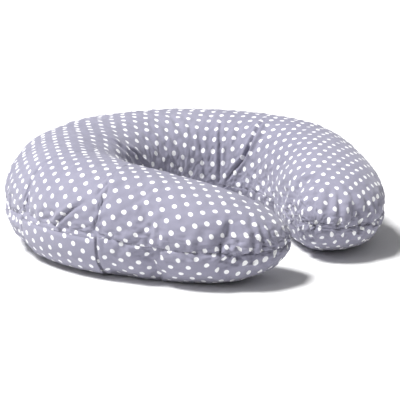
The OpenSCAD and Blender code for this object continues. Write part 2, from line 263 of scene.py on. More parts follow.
def inflate(points):
    """Blows the cover up by cloth simulation, with spare cloth beside the seams, and returns how far each
    point of the grid moves. Only the folds are kept whole: the form already has its size."""
    coarse = points[::2, ::2].copy()
    ns, nv = coarse.shape[:2]
    rng = np.random.default_rng(7)
    start = coarse + normals(coarse) * rng.normal(0, START_WAVER, (ns, nv, 1))
    obj, used = build("filling_trial", start.reshape(-1, 3), closed_faces(ns, nv))
    to_seam = seam_distance(coarse)[0].reshape(-1)[used]
    spare = 0.5 - 0.5 * np.exp(-((to_seam / GATHER_REACH) ** 2))
    spare[to_seam < 0.003] = 1.0
    group = obj.vertex_groups.new(name="spare")
    for k, w in enumerate(spare):
        group.add([k], float(w), "REPLACE")
    cloth = obj.modifiers.new("fill", "CLOTH")
    c = cloth.settings
    c.quality = 6
    c.mass = 0.15
    c.tension_stiffness = c.compression_stiffness = 20
    c.shear_stiffness = 8
    c.bending_stiffness = 0.15
    c.air_damping = 4
    c.use_pressure = True
    c.uniform_pressure_force = FILL_PRESSURE
    c.vertex_group_shrink = "spare"
    c.shrink_min = -SPARE_CLOTH
    c.shrink_max = SPARE_CLOTH
    c.effector_weights.gravity = 0
    cloth.collision_settings.use_collision = False
    cloth.point_cache.frame_start, cloth.point_cache.frame_end = 1, FILL_FRAMES
    scene = bpy.context.scene
    for f in range(1, FILL_FRAMES + 1):
        scene.frame_set(f)
    done = obj.evaluated_get(bpy.context.evaluated_depsgraph_get())
    co = np.zeros(int(used.sum()) * 3)
    done.data.vertices.foreach_get("co", co)
    moved = coarse.reshape(-1, 3).copy()
    moved[used] = co.reshape(-1, 3)
    moved = moved.reshape(ns, nv, 3)
    moved[0], moved[-1] = moved[0, 0], moved[-1, 0]
    bpy.data.objects.remove(obj)
    scene.frame_set(1)
    change = moved - coarse
    swell = smooth(change, 5, 5)
    change = change - (1 - KEPT_SWELL) * swell
    size = np.linalg.norm(change, axis=-1, keepdims=True)
    change *= np.minimum(1, MOVE_CAP / np.maximum(size, 1e-9))
    return finer(change, points.shape)


def finer(field, shape):
    """A coarse grid's field at the points of the grid twice as fine."""
    full = np.zeros(shape)
    full[::2, ::2] = field
    full[1::2, ::2] = (field[:-1] + field[1:]) / 2
    full[:, 1::2] = (full[:, ::2] + np.roll(full[:, ::2], -1, axis=1)) / 2
    return full


# ------------------------------------------------------------------ seams, puckers and creases
def seam_loop():
    """The seam as one closed line: round the outside, and back along the inside."""
    outer = skin(S, 0.0)
    inner = skin(S[::-1], 180.0)
    line = np.concatenate([outer, inner[1:]])
    u = np.concatenate([[0], np.cumsum(np.linalg.norm(np.diff(line, axis=0), axis=1))])
    fine = np.arange(0, u[-1], 0.001)
    return np.stack([np.interp(fine, u, line[:, k]) for k in range(3)], -1), fine


SEAM, SEAM_U = seam_loop()
TIP_U = {
    "left": float(SEAM_U[np.argmin(np.linalg.norm(SEAM - skin(LEFT, 0.0), axis=1))]),
    "right": 0.0,
}


def tree_of(points):
    tree = KDTree(len(points))
    for k, p in enumerate(points):
        tree.insert(p, k)
    tree.balance()
    return tree


SEAM_TREE = tree_of(SEAM)


def seam_distance(points):
    """Distance from the seam, and length along the seam loop of the nearest point of it."""
    found = [SEAM_TREE.find(p)[1:] for p in points.reshape(-1, 3)]
    k, d = np.array([f[0] for f in found]), np.array([f[1] for f in found])
    return d.reshape(points.shape[:2]), SEAM_U[k].reshape(points.shape[:2])


P0 = skin(S[:, None], V[None, :])
N0 = normals(P0)
TO_SEAM, ALONG_SEAM = seam_distance(P0)
UPPER = (np.arange(NV) <= TOP_CELLS)[None, :]

filled = P0 + inflate(P0)


def pucker_shape(x, width):
    """A groove with a soft ridge on each side."""
    groove = -np.exp(-((x / width) ** 2))
    ridge = np.exp(-(((np.abs(x) - 2.1 * width) / (1.2 * width)) ** 2))
    return groove + 0.45 * ridge


def loop_gap(u, at):
    """Signed distance along the seam loop."""
    total = SEAM_U[-1]
    return (u - at + total / 2) % total - total / 2


# Strong puckers on the outer seam: place along the pillow, depth, width, reach above and below it
STRONG_GATHERS = [
    (0.374, 0.0020, 0.0026, 0.016, 0.004),
    (0.446, 0.0050, 0.0028, 0.030, 0.018),
    (0.456, 0.0030, 0.0024, 0.018, 0.014),
    (0.484, 0.0034, 0.0026, 0.024, 0.014),
    (0.494, 0.0030, 0.0024, 0.018, 0.012),
    (0.523, 0.0048, 0.0026, 0.028, 0.016),
    (0.534, 0.0044, 0.0024, 0.032, 0.016),
    (0.546, 0.0048, 0.0026, 0.030, 0.018),
    (0.560, 0.0050, 0.0028, 0.040, 0.018),
    (0.574, 0.0040, 0.0028, 0.044, 0.016),
    (0.587, 0.0036, 0.0028, 0.040, 0.014),
    (-0.570, 0.0036, 0.0032, 0.060, 0.018),
    (-0.560, 0.0030, 0.0028, 0.040, 0.016),
    (-0.549, 0.0036, 0.0030, 0.062, 0.018),
    (-0.537, 0.0028, 0.0028, 0.044, 0.016),
    (-0.525, 0.0032, 0.0030, 0.056, 0.016),
    (-0.509, 0.0024, 0.0028, 0.040, 0.014),
    (-0.492, 0.0020, 0.0030, 0.034, 0.012),
]


# The random puckers: ranges of their depth, width, reach above and below the seam, slant and spacing
DEPTHS, WIDTHS = (0.0005, 0.0014), (0.0026, 0.0042)
REACH_ABOVE, REACH_BELOW = (0.010, 0.030), (0.008, 0.018)
SLANTS, SPACINGS = (-0.25, 0.25), (0.014, 0.034)
# They keep clear of the strong ones, and grow within this reach of a tip
CLEAR_OF_STRONG, TIP_PULL_REACH = 0.010, 0.13
# They are shallower where the cloth is taut over the flap, and along the inner seam
TAUT_S, TAUT_SHARE, INNER_SHARE = (0.08, 0.43), 0.35, 0.2


def seam_place(s):
    """Length along the seam loop of the outer seam at s."""
    return float(SEAM_U[np.argmin(np.linalg.norm(SEAM - skin(s, 0.0), axis=1))])


def gathers():
    """Puckers across the seam: place along it, depth, width, reach above and below, slant."""
    rng = np.random.default_rng(21)
    rows = []
    for s, depth, width, above, below in STRONG_GATHERS:
        u = seam_place(s)
        rows.append((u, depth, width, above, below, rng.uniform(-0.2, 0.2)))
    placed = np.array([row[0] for row in rows])
    taut = [seam_place(s) for s in TAUT_S]
    u = 0.0
    while u < SEAM_U[-1] - 0.008:
        near_tip = min(abs(loop_gap(u, TIP_U["left"])), abs(loop_gap(u, TIP_U["right"])))
        pull = math.exp(-((near_tip / TIP_PULL_REACH) ** 2))
        depth = rng.uniform(*DEPTHS) + 0.0014 * pull * rng.uniform(0.4, 1.0)
        width = rng.uniform(*WIDTHS) + 0.001 * pull
        if taut[0] < u < taut[1]:
            depth *= TAUT_SHARE
        if u > TIP_U["left"]:
            depth *= INNER_SHARE
        above = rng.uniform(*REACH_ABOVE) + 0.030 * pull
        below = rng.uniform(*REACH_BELOW) + 0.015 * pull
        row = (u, depth, width, above, below, rng.uniform(*SLANTS))
        if np.abs(loop_gap(placed, u)).min() > CLEAR_OF_STRONG:
            rows.append(row)
        u += rng.uniform(*SPACINGS) * (1 - 0.45 * pull)
    return rows


GATHER_LIMIT = 0.0048
# The stitches hold the puckers flatter right at the seam
SEAM_HOLD, SEAM_HOLD_REACH = 0.45, 0.006


def gather_field():
    field = np.zeros((NS, NV))
    at_seam = 1 - SEAM_HOLD * np.exp(-((TO_SEAM / SEAM_HOLD_REACH) ** 2))
    for at, depth, width, above, below, slant in gathers():
        reach = np.where(UPPER, above, below)
        x = loop_gap(ALONG_SEAM, at) - slant * TO_SEAM
        near = (np.abs(x) < 5 * width) & (TO_SEAM < 2.5 * reach)
        spread = width * (1 + 0.6 * TO_SEAM / reach)
        shape = pucker_shape(x, spread) * np.exp(-((TO_SEAM / reach) ** 2)) * at_seam
        field += np.where(near, depth * shape, 0)
    return GATHER_LIMIT * np.tanh(field / GATHER_LIMIT)


# Creases: points (s, v) that each runs through, depth, width, and which way it leans. Both ends fade.
CREASES = [
    ([(-0.262, 92), (-0.276, 110), (-0.291, 135), (-0.286, 157), (-0.240, 180)], 0.0070, 0.0024, 0.3),
    ([(-0.292, 104), (-0.306, 127), (-0.311, 152)], 0.0026, 0.0050, 0.0),
    ([(-0.188, 108), (-0.203, 135), (-0.216, 156), (-0.222, 179)], 0.0048, 0.0024, 0.2),
    ([(-0.146, 130), (-0.158, 148), (-0.184, 178)], 0.0036, 0.0032, 0.2),
    ([(-0.222, 104), (-0.244, 132), (-0.262, 152)], 0.0024, 0.0040, 0.0),
    ([(-0.118, 112), (-0.134, 140), (-0.165, 168)], 0.0022, 0.0040, 0.0),
    ([(-0.084, 100), (-0.110, 134), (-0.147, 155)], 0.0024, 0.0040, 0.0),
    ([(-0.050, 108), (-0.080, 140), (-0.112, 165)], 0.0020, 0.0040, 0.0),
    ([(-0.022, 110), (-0.050, 143), (-0.092, 167)], 0.0022, 0.0042, 0.0),
    ([(0.010, 118), (-0.018, 146), (-0.050, 168)], 0.0018, 0.0040, 0.0),
    ([(0.098, 138), (0.086, 146), (0.074, 154), (0.040, 164)], 0.0070, 0.0028, 0.3),
    ([(0.150, 118), (0.128, 140), (0.110, 158)], 0.0020, 0.0045, 0.0),
    ([(0.352, 30), (0.341, 21), (0.327, 9), (0.314, 0), (0.309, -6)], 0.0050, 0.0024, 0.2),
    ([(0.420, 150), (0.400, 165), (0.370, 178)], 0.0026, 0.0040, 0.0),
    ([(0.230, 140), (0.215, 158), (0.190, 176)], 0.0026, 0.0040, 0.0),
]


def bend_through(values, t):
    """A smooth curve through values at whole numbers of t (Catmull-Rom)."""
    padded = np.concatenate([[2 * values[0] - values[1]], values, [2 * values[-1] - values[-2]]])
    i = np.clip(np.floor(t).astype(int), 0, len(values) - 2)
    f = t - i
    a, b, c, d = (padded[i + k] for k in range(4))
    return b + 0.5 * f * (c - a + f * (2 * a - 5 * b + 4 * c - d + f * (3 * (b - c) + d - a)))


CREASE_POINTS, CREASE_SKIP, CREASE_SEARCH = 120, 12, 0.03


def crease_field():
    field = np.zeros((NS, NV))
    flat = P0.reshape(-1, 3)
    for points, depth, width, lean in CREASES:
        s, v = np.array(points, float).T
        t = np.linspace(0, len(s) - 1, CREASE_POINTS)
        line = skin(bend_through(s, t), bend_through(v, t))
        fade = np.sin(np.pi * np.linspace(0, 1, CREASE_POINTS)) ** 0.6
        tree = tree_of(line)
        rough = np.linalg.norm(flat[:, None] - line[None, ::CREASE_SKIP], axis=-1).min(axis=1)
        for k in np.nonzero(rough < CREASE_SEARCH)[0]:
            _, i, d = tree.find(flat[k])
            if d < 5 * width:
                ahead = line[min(i + 1, CREASE_POINTS - 1)] - line[max(i - 1, 0)]
                side = np.sign(np.dot(np.cross(N0.reshape(-1, 3)[k], ahead), flat[k] - line[i]))
                x = side * d + lean * width
                field.reshape(-1)[k] += depth * fade[i] * pucker_shape(x, width)
    return field


SEAM_DIP, SEAM_DIP_WIDTH = 0.0011, 0.0012
TIP_HIDES_SEAM = 0.20
SEAM_ROLL, SEAM_ROLL_AT, SEAM_ROLL_WIDTH = 0.0004, 0.0060, 0.0040


def seam_field():
    """The narrow groove where the panels turn in, with a soft roll on each side."""
    dip = -SEAM_DIP * np.exp(-((TO_SEAM / SEAM_DIP_WIDTH) ** 2))
    roll = SEAM_ROLL * np.exp(-(((TO_SEAM - SEAM_ROLL_AT) / SEAM_ROLL_WIDTH) ** 2))
    to_tip = loop_gap(ALONG_SEAM, TIP_U["right"])
    return (dip + roll) * (1 - np.exp(-((to_tip / TIP_HIDES_SEAM) ** 2)))


# Soft swellings: place s and v, height, and reach along s (m) and v (degrees)
SWELLS = [(0.135, 126, 0.0050, 0.050, 30)]


def swell_field():
    field = np.zeros((NS, NV))
    for s, v, height, reach_s, reach_v in SWELLS:
        gap = (V - v + 180) % 360 - 180
        field += height * np.exp(-(((S[:, None] - s) / reach_s) ** 2) - (gap[None, :] / reach_v) ** 2)
    return field


def lumps(points, scale, height, seed):
    """Soft unevenness of the fill."""
    offset = Vector((seed, -seed, 2 * seed))
    values = [noise.fractal(Vector(p) * scale + offset, 1.0, 2.0, 3) for p in points.reshape(-1, 3)]
    return height * np.array(values).reshape(points.shape[:2])


def on_floor(points):
    points[..., 2] = np.maximum(points[..., 2], 0)
    return points


DROP = np.where(V > 180, 360 - V, -V)[None, :]
COVER_POCKET = (
    POCKET_DEPTH * window(S[:, None], *FLAP_S, 6 * MM, 6 * MM) * window(DROP, 0.5, 41, 3.5, 16)
)
INNER_POCKET = (
    INNER_POCKET_DEPTH
    * window(S[:, None], FLAP_S[0] - 8 * MM, FLAP_S[1] + 8 * MM, 14 * MM, 14 * MM)
    * window(DROP, -9, 46, 10, 18)
)
# Where the cloth stays smooth, under and beside the flap
CALM = window(S[:, None], FLAP_S[0] - 14 * MM, FLAP_S[1] + 14 * MM, 12 * MM, 12 * MM)
CALM = CALM * window(DROP, -3, 60, 3, 10)
# Height, place and width of the groove and of the roll at each end of the flap
END_GROOVE, END_ROLL = (-0.0030, 0.0008, 0.0014), (0.0020, 0.0060, 0.0040)
# The fill's unevenness: scale, height and seed
LUMPS = [(14, 0.0016, 3.0), (45, 0.0004, 9.0)]


def flap_edge_field():
    """The cover stands up round the flap, with a narrow groove at both of the flap's ends."""
    field = np.zeros((NS, NV))
    for edge, way in ((FLAP_S[0], -1), (FLAP_S[1], 1)):
        x = way * (S[:, None] - edge)
        groove, roll = (h * np.exp(-(((x - at) / width) ** 2)) for h, at, width in (END_GROOVE, END_ROLL))
        field += (groove + roll) * window(DROP, -2, FLAP_DROP + 6, 3, 8)
    return field


relief = gather_field() + crease_field() + seam_field() + swell_field()
relief += sum(lumps(P0, *row) for row in LUMPS)
moved = P0 + (filled - P0) * (1 - CALM[..., None])
relief = relief * (1 - CALM) + flap_edge_field()
OUTSIDE = on_floor(moved + normals(moved) * relief[..., None])
INWARD = -normals(smooth(OUTSIDE, 3, 3))


def layer(depth, pocket=0.0):
    """The grid at a depth below the cover's outside, deeper in a pocket."""
    return on_floor(OUTSIDE + INWARD * (depth + pocket + np.zeros((NS, NV)))[..., None])


# ------------------------------------------------------------------ where the printed cloth was cut
PITCH = 0.0179
FLAP_ANGLE = 62.0
TOP_ANGLE, TOP_PHASE = 37.0, (0.0, 0.0)
BASE_ANGLE, BASE_PHASE = 25.0, (0.004, 0.002)
OUTER_TAKE_UP, INNER_TAKE_UP = 1.05, 0.9
# The panels were cut straighter than the filled pillow lies
LEFT_CUT, RIGHT_CUT = 0.9, 0.74
RIGHT_SPARE = 0.12


def spare_cloth():
    """Cloth per length of surface: the right arm holds more, in fine wrinkles."""
    return 1 + RIGHT_SPARE * ease((-S - 0.18) / 0.22)


def cut_line():
    """The centre line on the flat cloth, and its outward direction."""
    back = (S > -RIGHT_BACK) & (S < LEFT_BACK)
    arm_bend = np.where(S > 0, 1 / LEFT_ARM_RADIUS, 1 / RIGHT_ARM_RADIUS)
    bend = np.where(back, 1 / BACK_RADIUS, arm_bend) * np.where(S > 0, LEFT_CUT, RIGHT_CUT)
    turn = np.concatenate([[0], np.cumsum((bend[1:] + bend[:-1]) / 2 * np.diff(S))])
    turn -= np.interp(0.0, S, turn)
    ahead = np.stack([-np.cos(turn), -np.sin(turn)], -1)
    crest = P0[:, np.argmin(np.abs(V - 90))]
    spare = spare_cloth()
    step = np.linalg.norm(np.diff(crest, axis=0), axis=1) * (spare[1:] + spare[:-1]) / 2
    middle = (ahead[1:] + ahead[:-1]) / 2 * step[:, None]
    point = np.concatenate([[[0, 0]], np.cumsum(middle, axis=0)])
    point -= [np.interp(0.0, S, point[:, k]) for k in (0, 1)]
    return point, np.stack([-np.sin(turn), np.cos(turn)], -1)


def cloth_coordinates(middle_v, angle, phase):
    """Place of each point on the flat cloth that the panel was cut from."""
    reach = np.cumsum(np.linalg.norm(np.diff(P0, axis=1, append=P0[:, :1]), axis=-1), axis=1)
    reach = np.concatenate([np.zeros((NS, 1)), reach[:, :-1]], axis=1)
    if middle_v > 180:
        reach[:, 0] += reach[:, -1] + np.linalg.norm(P0[:, 0] - P0[:, -1], axis=-1)
    middle = np.argmin(np.abs(V - middle_v))
    across = reach - reach[:, middle : middle + 1]
    if middle_v < 180:
        across = -across
    across = np.where(across > 0, across * OUTER_TAKE_UP, across * INNER_TAKE_UP) * spare_cloth()[:, None]
    point, out = cut_line()
    flat = point[:, None] + across[..., None] * out[:, None]
    a = math.radians(angle)
    x = math.cos(a) * flat[..., 0] - math.sin(a) * flat[..., 1] + phase[0]
    y = math.sin(a) * flat[..., 0] + math.cos(a) * flat[..., 1] + phase[1]
    return np.stack([x, y, np.zeros_like(x)], -1)


TOP_CLOTH = cloth_coordinates(90, TOP_ANGLE, TOP_PHASE)
BASE_CLOTH = cloth_coordinates(270, BASE_ANGLE, BASE_PHASE)


# ------------------------------------------------------------------ thin shells from the grid
def shell(name, outer, inner, cloth=None, kept=None, tips=(False, False)):
    """A closed thin shell between two grids of points. kept says which cells are there, and tips
    which ends are single points."""
    ns, nv = outer.shape[:2]
    kept = np.ones((ns - 1, nv - 1), bool) if kept is None else kept
    layers = []
    for base in (0, ns * nv):
        ids = base + np.arange(ns * nv).reshape(ns, nv)
        if tips[0]:
            ids[0] = ids[0, 0]
        if tips[1]:
            ids[-1] = ids[-1, 0]
        layers.append(ids)
    a, b = layers
    corners = [a[:-1, :-1], a[1:, :-1], a[1:, 1:], a[:-1, 1:]]
    faces = [np.stack([c[kept] for c in corners], -1)]
    corners = [b[:-1, :-1], b[:-1, 1:], b[1:, 1:], b[1:, :-1]]
    faces.append(np.stack([c[kept] for c in corners], -1))
    wide = np.pad(kept, 1)
    edges = (
        (wide[1:-1, 1:-1] & ~wide[1:-1, :-2], (a[:-1, :-1], b[:-1, :-1], b[1:, :-1], a[1:, :-1])),
        (wide[1:-1, 1:-1] & ~wide[1:-1, 2:], (a[1:, 1:], b[1:, 1:], b[:-1, 1:], a[:-1, 1:])),
        (wide[1:-1, 1:-1] & ~wide[:-2, 1:-1], (a[:-1, 1:], b[:-1, 1:], b[:-1, :-1], a[:-1, :-1])),
        (wide[1:-1, 1:-1] & ~wide[2:, 1:-1], (a[1:, :-1], b[1:, :-1], b[1:, 1:], a[1:, 1:])),
    )
    for open_side, corners in edges:
        faces.append(np.stack([c[open_side] for c in corners], -1))
    points = np.concatenate([outer.reshape(-1, 3), inner.reshape(-1, 3)])
    obj, used = build(name, points, np.concatenate(faces))
    if cloth is not None:
        both = np.concatenate([cloth.reshape(-1, 3)] * 2)[used].astype(np.float32)
        attribute = obj.data.attributes.new("cloth", "FLOAT_VECTOR", "POINT")
        attribute.data.foreach_set("vector", both.ravel())
    return obj


COVER_THICKNESS = 0.0008
ALLOWANCE_DEPTH, ALLOWANCE_THICKNESS = 0.0010, 0.0004
CASE_DEPTH, CASE_THICKNESS = 0.0021, 0.0006
FILL_DEPTH = 0.0032
FLAP_GAP, FLAP_THICKNESS = 0.0004, 0.0009
# The flap's hem is turned up this many degrees of the section, and is this share thicker there
HEM_TURN, HEM_EXTRA = 4.5, 0.55
TOP_COLUMNS = np.arange(TOP_CELLS + 1)
BASE_COLUMNS = np.concatenate([np.arange(TOP_CELLS, NV), [0]])
BASE_ROWS = np.concatenate([V[BASE_COLUMNS[:-1]], [360.0]])


def in_range(values, low, high):
    """Which cells have their middles between low and high."""
    middle = (values[:-1] + values[1:]) / 2
    return (middle > low) & (middle < high)


def panel(name, columns, depth, thickness, pocket=0.0, cloth=None, kept=None):
    """One sheet of the pillow, over the whole of its length."""
    outer = layer(depth, pocket)[:, columns]
    inner = layer(depth + thickness, pocket)[:, columns]
    cloth = None if cloth is None else cloth[:, columns]
    return shell(name, outer, inner, cloth, kept, tips=(True, True))


def slit():
    """The cells of the lower panel that the zip closes."""
    return in_range(S, *ZIP_S)[:, None] & in_range(BASE_ROWS, 360 - SLIT_BOTTOM, 360 - SLIT_TOP)[None, :]


FLAP_S_CELLS, FLAP_V_CELLS = 64, 30
FLAP_TOP_ROW = 359.4


def flap_grid(v_low=360 - FLAP_DROP, v_high=FLAP_TOP_ROW):
    """Places of the flap's points, and the points and outward normals of the form below them."""
    s = np.linspace(*FLAP_S, FLAP_S_CELLS + 1)
    v = np.linspace(v_low, v_high, FLAP_V_CELLS + 1)
    p = skin(s[:, None], v[None, :])
    n = np.cross(np.gradient(p, axis=0), np.gradient(p, axis=1))
    return s, v, p, n / np.linalg.norm(n, axis=-1, keepdims=True)


FLAP_LIFT, FLAP_WAVE, FLAP_FOLD = 0.0012, 0.0007, 0.0010


def flap_relief(s, v):
    """How far the flap stands off: it lies close at the seam and lifts a little toward its hem."""
    down = (360 - v)[None, :] / FLAP_DROP
    along = (s[:, None] - FLAP_S[0]) / (FLAP_S[1] - FLAP_S[0])
    waves = FLAP_WAVE * down * np.sin(2 * np.pi * (2.3 * along + 0.15 * down))
    fold_at = 0.42 + 0.5 * down
    fold = -FLAP_FOLD * np.exp(-(((along - fold_at) / 0.035) ** 2)) * np.exp(-((down / 0.55) ** 2))
    ridge = FLAP_FOLD * np.exp(-(((along - fold_at - 0.075) / 0.05) ** 2)) * np.exp(-((down / 0.6) ** 2))
    return FLAP_GAP + FLAP_LIFT * down + np.abs(waves) + fold * 0.5 + ridge


def zip_flap():
    s, v, p, n = flap_grid()
    lift = np.maximum(flap_relief(s, v), FLAP_GAP)[..., None]
    inner = p + n * lift
    hem = (360 - v)[None, :] > FLAP_DROP - HEM_TURN
    outer = inner + n * (FLAP_THICKNESS * (1 + HEM_EXTRA * hem + np.zeros((len(s), 1))))[..., None]
    return shell("zip_flap_panel", on_floor(outer), on_floor(inner), flap_cloth(s, p))


def flap_cloth(s, p):
    """The flap was cut at another angle to the weave."""
    a = math.radians(FLAP_ANGLE)
    x = (s[:, None] - FLAP_S[0]) * (BACK_RADIUS + OUTER_WIDTH) / BACK_RADIUS + np.zeros(p.shape[:2])
    y = np.zeros(p.shape[:2])
    y[:, 1:] = -np.cumsum(np.linalg.norm(np.diff(p, axis=1), axis=-1), axis=1)
    return np.stack([math.cos(a) * x - math.sin(a) * y, math.sin(a) * x + math.cos(a) * y, 0 * x], -1)


# ------------------------------------------------------------------ threads, coils and tubes
TUBE_SIDES = 6


def tubes(name, paths, radius):
    """Round tubes along several paths, one mesh, with closed ends."""
    points, faces, base = [], [], 0
    angles = np.linspace(0, 2 * np.pi, TUBE_SIDES, endpoint=False)
    ring = np.stack([np.cos(angles), np.sin(angles)], -1)
    for path, up in paths:
        ahead = np.gradient(path, axis=0)
        ahead /= np.linalg.norm(ahead, axis=1, keepdims=True)
        across = np.cross(ahead, up)
        across /= np.linalg.norm(across, axis=1, keepdims=True)
        rise = np.cross(across, ahead)
        round_path = ring[None, :, :1] * across[:, None] + ring[None, :, 1:] * rise[:, None]
        tube = path[:, None] + radius * round_path
        points.append(tube.reshape(-1, 3))
        n = len(path)
        ids = base + np.arange(n * TUBE_SIDES).reshape(n, TUBE_SIDES)
        nxt = np.roll(ids, -1, axis=1)
        faces += np.stack([ids[:-1], ids[1:], nxt[1:], nxt[:-1]], -1).reshape(-1, 4).tolist()
        faces += [ids[0].tolist(), ids[-1][::-1].tolist()]
        base += n * TUBE_SIDES
    mesh = bpy.data.meshes.new(name)
    mesh.from_pydata(np.concatenate(points).tolist(), [], faces)
    mesh.shade_smooth()
    return add_object(name, mesh)


STITCH_LENGTH, STITCH_GAP, THREAD_RADIUS = 0.0026, 0.0009, 0.00024
# How high the thread stands along one stitch, in its own radii: both ends go into the cloth
STITCH_ARCH = np.array([-1.6, 0.3, 0.8, 0.3, -1.6])


def stitches(name, lines, sink=0.0001, length=STITCH_LENGTH):
    """Rows of lockstitch along lines given as (points, outward normals)."""
    made = []
    for points, outward in lines:
        u = np.concatenate([[0], np.cumsum(np.linalg.norm(np.diff(points, axis=0), axis=1))])
        for start in np.arange(STITCH_GAP, u[-1] - length, length + STITCH_GAP):
            t = start + length * np.linspace(0, 1, len(STITCH_ARCH))
            path = np.stack([np.interp(t, u, points[:, k]) for k in range(3)], -1)
            up = np.stack([np.interp(t, u, outward[:, k]) for k in range(3)], -1)
            arch = STITCH_ARCH * THREAD_RADIUS
            made.append((path + up * (arch - sink)[:, None], up))
    return tubes(name, made, THREAD_RADIUS)


def row_line(v, first_s, last_s, lift, pocket=0.0):
    """Points and outward normals along one angle of the cover's outside."""
    j = np.argmin(np.abs(V - v % 360)) if v % 360 <= V[-1] else 0
    i = np.nonzero((S >= first_s) & (S <= last_s))[0]
    return layer(-lift, pocket)[i, j], -INWARD[i, j]


# Where the zip lies, as in the CAD: radius round the back's centre, height, and lean outward
ZIP_RADIUS, ZIP_HEIGHT, ZIP_TILT = 0.266183, 0.044078, 10.09
TEETH_GAP, TEETH_HEIGHT = 0.0005, 0.0019
COIL_WIRE, COIL_PITCH, COIL_THICKNESS = 0.00028, 0.0014, 0.0024


def zip_point(turn, out, up):
    """A place on the zip: turn round the back's centre, out from the tape, and up it."""
    t = math.radians(ZIP_TILT)
    r = ZIP_RADIUS + out * math.cos(t) + up * math.sin(t)
    z = ZIP_HEIGHT - out * math.sin(t) + up * math.cos(t)
    a = np.radians(turn)
    return np.stack([-r * np.sin(a), r * np.cos(a) + SHIFT, z], -1)


def zip_coil(name, direction):
    first, last = [FLAP_MIDDLE + k * (FLAP_TURN / 2 - FLAP_OVERLAP - 0.5) for k in (-1, 1)]
    turns = math.radians(last - first) * ZIP_RADIUS / COIL_PITCH
    t = np.linspace(0, 1, int(turns * 14))
    phase = 2 * np.pi * turns * t
    high = TEETH_HEIGHT / 2 - COIL_WIRE
    wide = COIL_THICKNESS / 2 - COIL_WIRE
    out = wide * np.cos(phase)
    up = direction * (TEETH_GAP + TEETH_HEIGHT / 2 + high * np.sin(phase))
    path = zip_point(mix(first, last, t), out, up)
    return tubes(name, [(path, np.tile((0, 0, 1.0), (len(t), 1)))], COIL_WIRE)


# ------------------------------------------------------------------ materials
class Nodes:
    """Short calls for building a material's nodes."""

    def __init__(self, name):
        self.material = bpy.data.materials.new(name)
        self.material.use_nodes = True
        self.tree = self.material.node_tree
        self.shader = self.tree.nodes["Principled BSDF"]

    def new(self, kind, *inputs, **settings):
        node = self.tree.nodes.new(kind)
        for key, value in settings.items():
            setattr(node, key, value)
        for k, value in enumerate(inputs):
            self.feed(node.inputs[k], value)
        return node

    def feed(self, socket, value):
        if value is None:
            return
        if isinstance(value, bpy.types.NodeSocket):
            self.tree.links.new(value, socket)
        else:
            socket.default_value = value

    def look(self, socket, value):
        """Feeds one socket of the shader."""
        self.feed(self.shader.inputs[socket], value)

    def place(self):
        return self.new("ShaderNodeTexCoord").outputs["Object"]

    def math(self, operation, *inputs):
        return self.new("ShaderNodeMath", *inputs, operation=operation).outputs[0]

    def vector(self, operation, *inputs):
        node = self.new("ShaderNodeVectorMath", operation=operation)
        for k, value in enumerate(inputs):
            socket = node.inputs["Scale"] if operation == "SCALE" and k == 1 else node.inputs[k]
            self.feed(socket, value)
        return node.outputs["Value"] if operation in ("LENGTH", "DOT_PRODUCT") else node.outputs["Vector"]

    def noise(self, coordinate, scale, detail=3.0, roughness=0.55):
        node = self.new("ShaderNodeTexNoise")
        self.feed(node.inputs["Vector"], coordinate)
        node.inputs["Scale"].default_value = scale
        node.inputs["Detail"].default_value = detail
        node.inputs["Roughness"].default_value = roughness
        return node.outputs["Fac"]

    def ramp(self, value, low, high, to_low=0.0, to_high=1.0, smooth_step=True):
        node = self.new("ShaderNodeMapRange", value, low, high, to_low, to_high)
        node.interpolation_type = "SMOOTHSTEP" if smooth_step else "LINEAR"
        return node.outputs[0]

    def blend(self, factor, a, b):
        node = self.new("ShaderNodeMix", data_type="RGBA")
        self.feed(node.inputs["Factor"], factor)
        self.feed(node.inputs[6], a)
        self.feed(node.inputs[7], b)
        return node.outputs[2]

    def bump(self, height, distance, strength=1.0):
        node = self.new("ShaderNodeBump")
        self.feed(node.inputs["Height"], height)
        node.inputs["Distance"].default_value = distance
        node.inputs["Strength"].default_value = strength
        self.look("Normal", node.outputs["Normal"])


LILAC = (0.305, 0.298, 0.382, 1)
LILAC_DARK = (0.268, 0.262, 0.345, 1)
DOT_WHITE = (0.93, 0.93, 0.95, 1)
DOT_SHARE = 0.200
THREAD_PITCH = 0.00055


def cotton():
    """Plain-woven cotton printed with white dots."""
    n = Nodes("printed_cotton")
    cloth = n.new("ShaderNodeAttribute", attribute_name="cloth").outputs["Vector"]
    place = n.place()
    cell = n.vector("SUBTRACT", n.vector("FRACTION", n.vector("SCALE", cloth, 1 / PITCH)), (0.5, 0.5, 0.0))
    edge = n.math("MULTIPLY", n.math("SUBTRACT", n.noise(cloth, 900.0), 0.5), 0.03)
    distance = n.math("ADD", n.vector("LENGTH", n.vector("MULTIPLY", cell, (1.0, 1.0, 0.0))), edge)
    dot = n.ramp(distance, DOT_SHARE + 0.015, DOT_SHARE - 0.015)
    parts = n.new("ShaderNodeSeparateXYZ", n.vector("SCALE", cloth, 2 * math.pi / THREAD_PITCH))
    warp = n.math("SINE", parts.outputs[0])
    weft = n.math("SINE", parts.outputs[1])
    weave = n.math("MULTIPLY", warp, weft)
    fade = n.noise(place, 9.0, 4.0)
    slub = n.noise(n.vector("MULTIPLY", cloth, (220.0, 2600.0, 1.0)), 1.0, 2.0)
    ground = n.blend(n.ramp(fade, 0.3, 0.7), LILAC_DARK, LILAC)
    ground = n.blend(n.ramp(slub, 0.45, 0.8, 0.0, 0.25), ground, (0.40, 0.39, 0.48, 1))
    n.look("Base Color", n.blend(dot, ground, DOT_WHITE))
    n.look("Roughness", n.ramp(dot, 0.0, 1.0, 0.88, 0.78))
    n.look("Specular IOR Level", 0.25)
    n.look("Sheen Weight", 0.25)
    n.look("Sheen Roughness", 0.45)
    height = n.math("ADD", n.math("MULTIPLY", weave, 0.35), n.math("MULTIPLY", slub, 0.5))
    n.bump(height, 0.00012)
    return n.material


